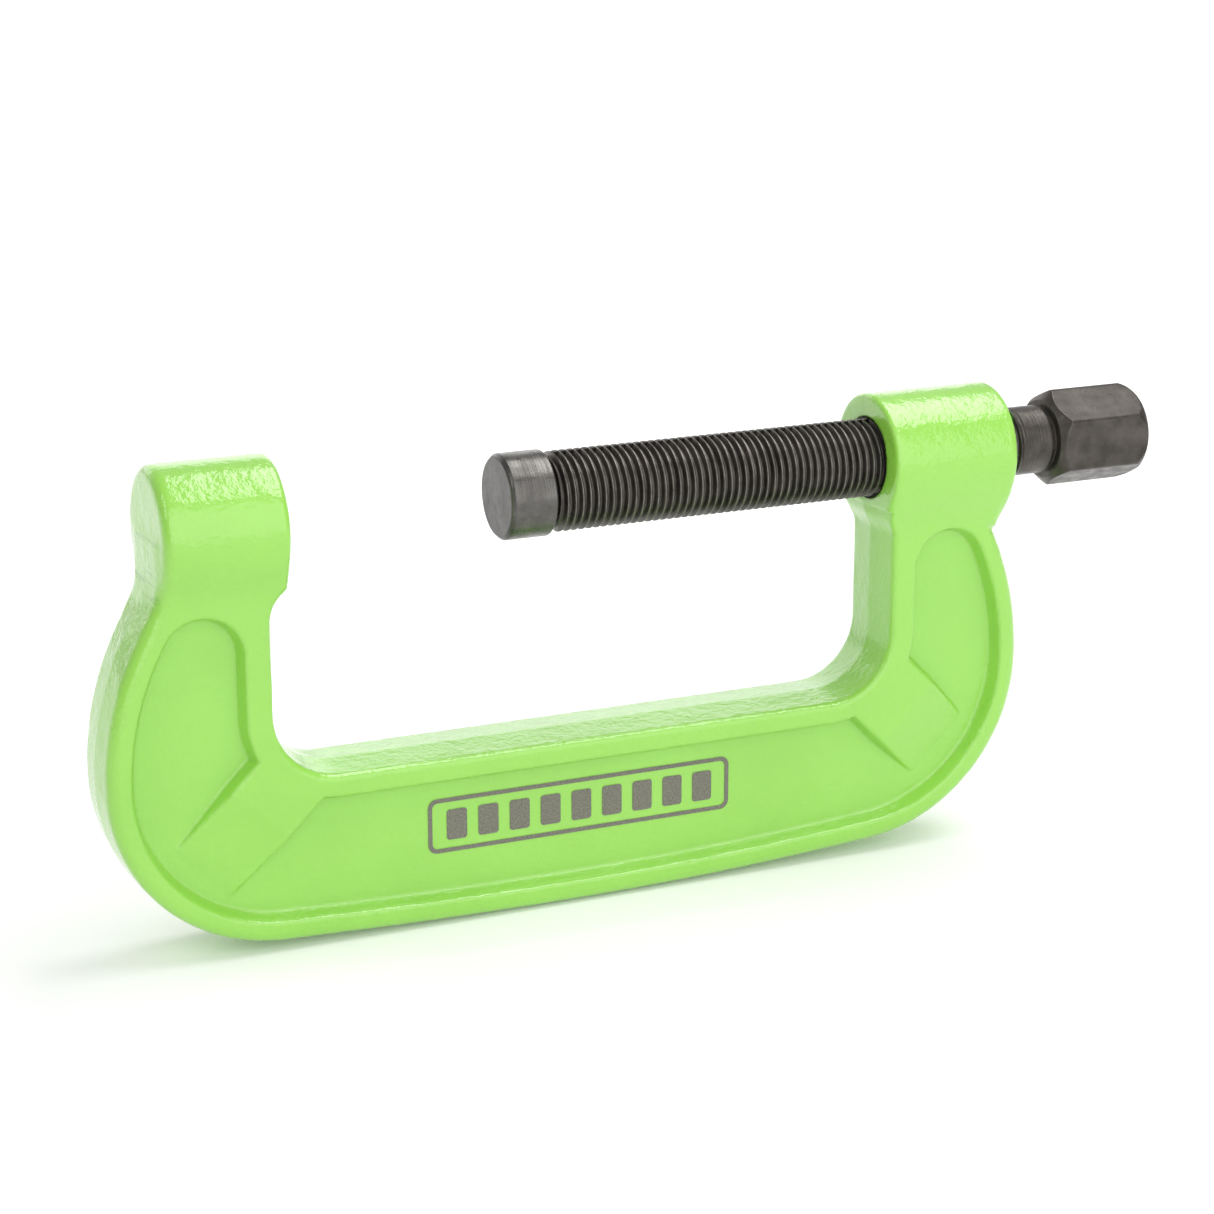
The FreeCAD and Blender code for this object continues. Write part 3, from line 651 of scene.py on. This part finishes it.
def make_mark():
    """A plain etched panel in the recess: a rounded border round a row of upright bars."""
    y = -(HALF_WIDTH - RECESS_DEPTH) - MARK_LIFT
    centre_x = MIDDLE + MARK_SHIFT
    vertices, faces = [], []

    def add(loop, shift):
        start = len(vertices)
        vertices.extend((centre_x + shift + px, y, MARK_HEIGHT + pz) for px, pz in loop)
        return list(range(start, len(vertices)))

    half_width, half_height = MARK_HALF
    outer = add(rounded_loop(half_width, half_height, MARK_CORNER), 0.0)
    inner = add(rounded_loop(half_width - MARK_LINE, half_height - MARK_LINE, MARK_INNER_CORNER), 0.0)
    count = len(outer)
    for number in range(count):
        after = (number + 1) % count
        faces.append((outer[number], inner[number], inner[after], outer[after]))
    for number in range(BARS):
        bar = add(rounded_loop(*BAR_HALF, BAR_CORNER), (number - BARS // 2) * BAR_SPACING)
        faces.append(bar[::-1])
    return new_object("etched_mark", vertices, faces, False)


# ------------------------------------------------------------------ materials
class Paint:
    """A small helper that adds nodes to one material."""

    def __init__(self, name):
        self.material = bpy.data.materials.new(name)
        self.material.use_nodes = True
        self.nodes = self.material.node_tree.nodes
        self.links = self.material.node_tree.links
        self.shader = self.nodes["Principled BSDF"]
        self.place = self.nodes.new("ShaderNodeTexCoord").outputs["Object"]

    def set(self, **values):
        for key, value in values.items():
            self.shader.inputs[key.replace("_", " ")].default_value = value

    def node(self, kind, inputs=(), **settings):
        made = self.nodes.new("ShaderNode" + kind)
        for key, value in settings.items():
            setattr(made, key, value)
        for socket, value in inputs:
            if isinstance(value, bpy.types.NodeSocket):
                self.links.new(value, made.inputs[socket])
            else:
                made.inputs[socket].default_value = value
        return made

    def noise(self, scale, detail=3.0, roughness=0.5, place=None):
        made = self.node("TexNoise", [("Vector", place or self.place), ("Scale", scale),
                                      ("Detail", detail), ("Roughness", roughness)])
        return made.outputs["Fac"]

    def curve(self, value, low, high, out_low=0.0, out_high=1.0):
        made = self.node("MapRange", [("Value", value), ("From Min", low), ("From Max", high),
                                      ("To Min", out_low), ("To Max", out_high)])
        made.clamp = True
        return made.outputs["Result"]

    def math(self, operation, first, second=0.0):
        made = self.node("Math", [(0, first), (1, second)], operation=operation)
        return made.outputs["Value"]

    def mix(self, share, first, second):
        made = self.node("Mix", data_type="RGBA")
        for socket, value in ((0, share), (6, first), (7, second)):
            if isinstance(value, bpy.types.NodeSocket):
                self.links.new(value, made.inputs[socket])
            else:
                made.inputs[socket].default_value = value
        return made.outputs[2]

    def bump(self, height, strength, distance, below=None):
        made = self.node("Bump", [("Height", height), ("Strength", strength),
                                  ("Distance", distance)])
        if below is not None:
            self.links.new(below, made.inputs["Normal"])
        return made.outputs["Normal"]

    def plug(self, socket, value):
        self.links.new(value, self.shader.inputs[socket])


def make_enamel():
    """Glossy lime-green enamel over a forged skin, with grinding marks on the anvil's end."""
    paint = Paint("lime_enamel")
    paint.set(Roughness=0.42, Specular_IOR_Level=0.35, Coat_Weight=1.0, Coat_Roughness=0.05,
              Coat_IOR=1.6)
    broad = paint.noise(28.0, 3.0)
    colour = paint.mix(paint.curve(broad, 0.35, 0.65), (0.250, 0.572, 0.058, 1),
                       (0.268, 0.602, 0.066, 1))
    speckle = paint.bump(paint.noise(1600.0, 1.0), 0.14, 0.0002)
    peel = paint.bump(paint.noise(620.0, 2.0), 0.42, 0.0004, speckle)
    forged = paint.bump(paint.noise(170.0, 4.0, 0.6), 0.36, 0.0007, peel)
    place = paint.node("SeparateXYZ", [(0, paint.place)]).outputs
    at_end = paint.curve(place["X"], (ANVIL_LEFT + 1.4) * MM, (ANVIL_LEFT + 0.4) * MM)
    at_end = paint.math("MULTIPLY", at_end, paint.curve(place["Z"], -20 * MM, -16 * MM))
    stretched = paint.node("Mapping", [("Vector", paint.place), ("Scale", (0, 25, 420))])
    marks = paint.noise(1.0, 4.0, 0.7, stretched.outputs["Vector"])
    deep = paint.math("MULTIPLY", paint.curve(marks, 0.52, 0.66), at_end)
    paint.plug("Base Color", paint.mix(deep, colour, (0.12, 0.40, 0.012, 1)))
    ground = paint.bump(deep, 0.35, -0.0004, forged)
    paint.plug("Normal", ground)
    paint.plug("Coat Normal", ground)
    return paint.material


def make_black_steel(name, dark, light, roughness, crest_radius):
    """Blackened steel, mottled by its oxide and worn bright beyond crest_radius.

    It has fine turning lines as far along the screw as the hexagon.
    """
    paint = Paint(name)
    paint.set(Metallic=0.85)
    place = paint.node("SeparateXYZ", [(0, paint.place)]).outputs
    oxide = paint.curve(paint.noise(160.0, 4.0), 0.35, 0.7)
    colour = paint.mix(oxide, dark + (1,), light + (1,))
    cross = paint.node("CombineXYZ", [("Y", place["Y"]), ("Z", place["Z"])])
    radius = paint.node("VectorMath", [(0, cross.outputs["Vector"])], operation="LENGTH")
    crest = paint.curve(radius.outputs["Value"], crest_radius * MM, (crest_radius + 0.2) * MM)
    turned = paint.curve(place["X"], HEX_START * MM, (HEX_START - 0.5) * MM)
    worn = paint.math("MULTIPLY", crest, turned)
    worn = paint.math("MULTIPLY", worn, paint.curve(paint.noise(500.0), 0.3, 0.6, 0.25, 0.8))
    worn_colour = paint.mix(worn, colour, (0.2, 0.19, 0.17, 1))
    # Specks of the frame's paint on the first turns outside the boss.
    specks = paint.curve(paint.noise(420.0, 2.0, 0.6, paint.place), 0.6, 0.64)
    from_boss = paint.curve(place["X"], SPECKS_START * MM, (SPECKS_START + 1) * MM)
    to_neck = paint.curve(place["X"], SPECKS_END * MM, (SPECKS_END - 3) * MM)
    specks = paint.math("MULTIPLY", paint.math("MULTIPLY", specks, from_boss), to_neck)
    paint.plug("Base Color", paint.mix(specks, worn_colour, (0.1, 0.5, 0.02, 1)))
    smear = paint.noise(300.0, 3.0)
    paint.plug("Roughness", paint.curve(smear, 0.3, 0.7, roughness - 0.08, roughness + 0.1))
    grain = paint.bump(paint.noise(900.0, 2.0), 0.15, 0.0002)
    lines = paint.node("Mapping", [("Vector", paint.place), ("Scale", (1700, 0, 0))])
    lines = paint.noise(1.0, 2.0, 0.6, lines.outputs["Vector"])
    paint.plug("Normal", paint.bump(paint.math("MULTIPLY", lines, turned), 0.5, 0.0004, grain))
    return paint.material


def make_etching():
    """Enamel burnt off to a dull brown-grey, with a fine grain."""
    paint = Paint("etched_grey")
    paint.set(Roughness=0.6)
    grain = paint.curve(paint.noise(1500.0, 3.0, 0.7), 0.35, 0.65)
    paint.plug("Base Color", paint.mix(grain, (0.11, 0.105, 0.08, 1), (0.2, 0.195, 0.16, 1)))
    return paint.material


def make_plain_metal(name, colour, roughness):
    """Bright, slightly mottled metal for the hidden pieces in the cap."""
    paint = Paint(name)
    paint.set(Metallic=1.0, Roughness=roughness)
    mottled = tuple(0.8 * part for part in colour) + (1,)
    paint.plug("Base Color", paint.mix(paint.noise(300.0), mottled, tuple(colour) + (1,)))
    paint.plug("Normal", paint.bump(paint.noise(1200.0), 0.1, 0.0001))
    return paint.material


def dress(obj, material):
    obj.data.materials.clear()
    obj.data.materials.append(material)
    return obj


# ------------------------------------------------------------------ stage
def make_stage():
    """A white floor that glows: faintly everywhere, which is painted light that lightens the shadow under
    the object, and more behind the object, so that it stays white there.
    """
    paint = Paint("glowing_stage_white")
    paint.set(Base_Color=(0.9, 0.9, 0.9, 1), Roughness=0.8, Emission_Color=(1, 1, 1, 1))
    behind = paint.node("SeparateXYZ", [(0, paint.place)]).outputs["Y"]
    # Painted light: the floor's glow rises from 0.08 under the object, where it lifts the contact shadow,
    # to 0.6 far behind.
    paint.plug("Emission Strength", paint.curve(behind, 0.1, 1.5, 0.08, 0.6))
    floor = new_object("studio_floor", [(-9000, -9000, 0), (9000, -9000, 0), (9000, 9000, 0),
                                        (-9000, 9000, 0)], [(0, 1, 2, 3)], False)
    floor.location.z = BOTTOM * MM
    floor.data.materials.append(paint.material)


def soft_light(name, place, facing, size, radiance):
    """A rectangular softbox; radiance 1 looks as bright as a sheet of white paper."""
    data = bpy.data.lights.new(name, "AREA")
    data.shape = "RECTANGLE"
    data.size, data.size_y = size
    data.energy = radiance * math.pi * size[0] * size[1]
    obj = bpy.data.objects.new(name, data)
    obj.location = place
    obj.rotation_euler = Vector(facing).to_track_quat("-Z", "Y").to_euler()
    bpy.context.scene.collection.objects.link(obj)


def make_lights():
    """Softboxes above, in front and behind, and a narrow one on the left for the edges."""
    world = bpy.data.worlds.new("studio")
    bpy.context.scene.world = world
    world.use_nodes = True
    background = world.node_tree.nodes["Background"]
    background.inputs["Color"].default_value = (1, 1, 1, 1)
    background.inputs["Strength"].default_value = 0.5
    soft_light("ceiling", (0.72, 0.0, 1.3), (0, 0, -1), (0.75, 1.33), 4.7)
    soft_light("front", (0.1, -1.6, 0.93), (0, 1, 0), (2.6, 2.1), 1.5)
    soft_light("back", (0.1, 3.0, 1.1), (0, -1, 0), (4.0, 1.8), 1.2)
    soft_light("edge", (-1.05, -0.3, 0.95), (0.74, 0.2, -0.64), (0.3, 0.9), 2.5)


# Angles in degrees, the place in metres and the lens in millimetres.
CAMERA_AZIMUTH = -24.02
CAMERA_ELEVATION = 16.46
CAMERA_PLACE = (-0.2532, -0.8133, 0.2234)
CAMERA_LENS = 87.0


def make_camera():
    """Looks from the front left and a little above, as the object is usually shown."""
    azimuth = math.radians(CAMERA_AZIMUTH)
    elevation = math.radians(CAMERA_ELEVATION)
    back = Vector((math.sin(azimuth) * math.cos(elevation),
                   -math.cos(azimuth) * math.cos(elevation), math.sin(elevation)))
    right = Vector((math.cos(azimuth), math.sin(azimuth), 0))
    up = back.cross(right)
    data = bpy.data.cameras.new("camera")
    data.sensor_width = 36.0
    data.lens = CAMERA_LENS
    data.clip_end = 50.0
    camera = bpy.data.objects.new("camera", data)
    turn = Matrix((right, up, back)).transposed().to_4x4()
    camera.matrix_world = Matrix.Translation(Vector(CAMERA_PLACE)) @ turn
    bpy.context.scene.collection.objects.link(camera)
    bpy.context.scene.camera = camera


# ------------------------------------------------------------------ assembly
enamel = make_enamel()
black_steel = make_black_steel("black_oxide", (0.055, 0.049, 0.043), (0.1, 0.09, 0.08), 0.34,
                               THREAD_RADIUS - 0.22)
cap_steel = make_black_steel("turned_black", (0.08, 0.076, 0.072), (0.13, 0.125, 0.118), 0.27,
                             CAP_HIGH[2] - 0.05)

forged = dress(make_frame(), enamel)
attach(forged, "frame")
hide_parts("c_frame")

mark = dress(make_mark(), make_etching())
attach(mark, "frame")

tapped = dress(make_nut_thread(), black_steel)
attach(tapped, "frame")

screw = dress(make_screw(), black_steel)
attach(screw, "screw")
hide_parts("forcing_screw")

cap = dress(make_cap(), cap_steel)
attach(cap, "cap")
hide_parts("thrust_cap")

for node, colour, roughness, slot_name in (
        ("retaining_ring", (0.4, 0.4, 0.42), 0.3, "spring_steel"),
        ("thrust_ball", (0.75, 0.75, 0.77), 0.12, "ball_steel")):
    dress(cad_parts[node], make_plain_metal(slot_name, colour, roughness))

bpy.context.scene.view_settings.view_transform = "Standard"
make_stage()
make_lights()
make_camera()
